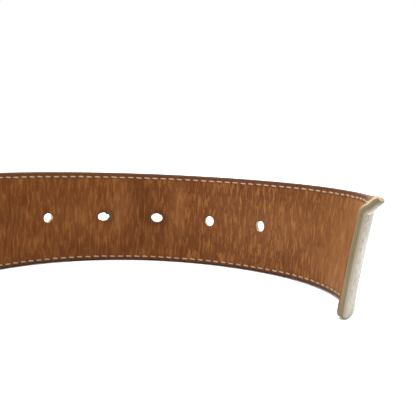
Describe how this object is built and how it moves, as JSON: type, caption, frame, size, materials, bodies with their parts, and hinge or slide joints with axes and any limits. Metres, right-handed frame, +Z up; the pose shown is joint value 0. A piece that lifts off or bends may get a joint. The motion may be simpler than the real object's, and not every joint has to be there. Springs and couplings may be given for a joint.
{
  "type": "money belt",
  "caption": "Wide stitched leather belt with prong holes, a prong buckle, keeper loops and a flat zipped money pocket in its lining, standing on edge, loosely rolled.",
  "frame": {"origin": "centre of the overall box at the level that the belt stands on", "axes": "+Z up, along the belt's width from its lower edge to its upper edge; +Y from the strap's middle stretch towards the row of prong holes; +X towards the buckle"},
  "size_m": [0.2836, 0.2884, 0.0481],
  "materials": {
    "outer_leather": "cream smooth leather, lightly soiled and grained",
    "lining_leather": "tan leather lining, waxy, finely wrinkled by wear",
    "core_board": "pressed leather board, matt",
    "keeper_leather": "cream smooth leather",
    "thread": "waxed khaki thread",
    "zip_tape": "brown woven tape",
    "zip_metal": "antique brass",
    "buckle_metal": "satin nickel",
    "screw_metal": "satin nickel",
    "staple_wire": "bright wire"
  },
  "bodies": {
    "strap": {"outer_strap": "outer_leather", "core_strip": "core_board", "lining_strap": "lining_leather", "needle_thread": "thread", "bobbin_thread": "thread", "zip_tape_upper": "zip_tape", "zip_tape_lower": "zip_tape", "zip_teeth_upper": "zip_metal", "zip_teeth_lower": "zip_metal", "zip_bottom_stop": "zip_metal", "zip_top_stops": "zip_metal", "zip_thread": "thread", "fixed_keeper": "keeper_leather", "fixed_keeper_staple": "staple_wire", "screw_posts": "screw_metal", "screw_heads": "screw_metal"},
    "buckle": {"buckle_frame": "buckle_metal", "buckle_bar": "buckle_metal"},
    "buckle_prong": {"prong": "buckle_metal"},
    "loose_keeper": {"sliding_keeper": "keeper_leather", "sliding_keeper_staple": "staple_wire"},
    "slider": {"zip_slider": "zip_metal"},
    "pull": {"zip_pull": "zip_metal"}
  },
  "joints": [
    {"name": "buckle_swing", "type": "hinge", "parent": "strap", "child": "buckle", "pos_m": [0.13295, 0.09448, 0], "axis": [0, 0, 1], "range_deg": [-60, 80]},
    {"name": "prong_swing", "type": "hinge", "parent": "buckle", "child": "buckle_prong", "pos_m": [0.13295, 0.09448, 0], "axis": [0, 0, -1], "range_deg": [0, 85]},
    {"name": "keeper_slide", "type": "slide", "parent": "strap", "child": "loose_keeper", "axis": [0, -1, 0], "range_m": [-0.003, 0.036]},
    {"name": "slider_travel", "type": "hinge", "parent": "strap", "child": "slider", "pos_m": [0.02185, 0.01948, 0], "axis": [0, 0, -1], "range_deg": [0, 94.4]},
    {"name": "pull_swing", "type": "hinge", "parent": "slider", "child": "pull", "pos_m": [-0.01774, -0.13471, 0], "axis": [0, 0, 1], "range_deg": [0, 165]}
  ]
}
